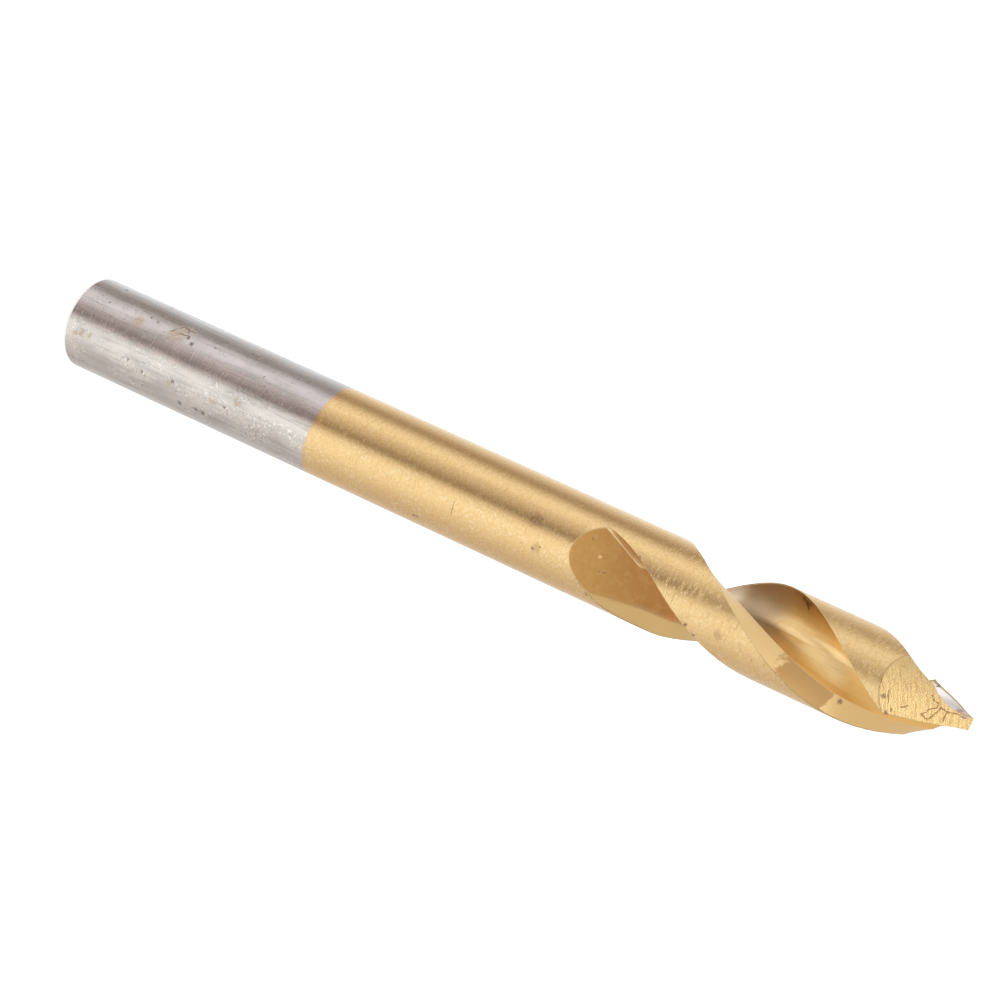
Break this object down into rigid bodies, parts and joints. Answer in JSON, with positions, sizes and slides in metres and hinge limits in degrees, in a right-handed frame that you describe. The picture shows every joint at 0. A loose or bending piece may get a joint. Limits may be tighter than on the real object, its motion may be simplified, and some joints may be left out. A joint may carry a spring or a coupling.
{
  "type": "spotting drill",
  "caption": "Rigid spotting drill: ground round bar with short right-hand helical flutes that run out in round hollows, a two-flank point, and a gold coat above a bare steel shank end",
  "frame": {"origin": "centre of the flat shank end, on the drill's axis", "axes": "+Z runs along the drill's axis from the shank end to the point; the outer corners of the two lips lie on the X axis"},
  "size_m": [0.006, 0.006, 0.0662],
  "materials": {
    "coated_steel": "ground high-speed steel with a gold titanium nitride coat, worn and stained in places; the first 20 mm of the shank are bare grey steel"
  },
  "bodies": {
    "root": {"spotting_drill": "coated_steel"}
  },
  "joints": []
}
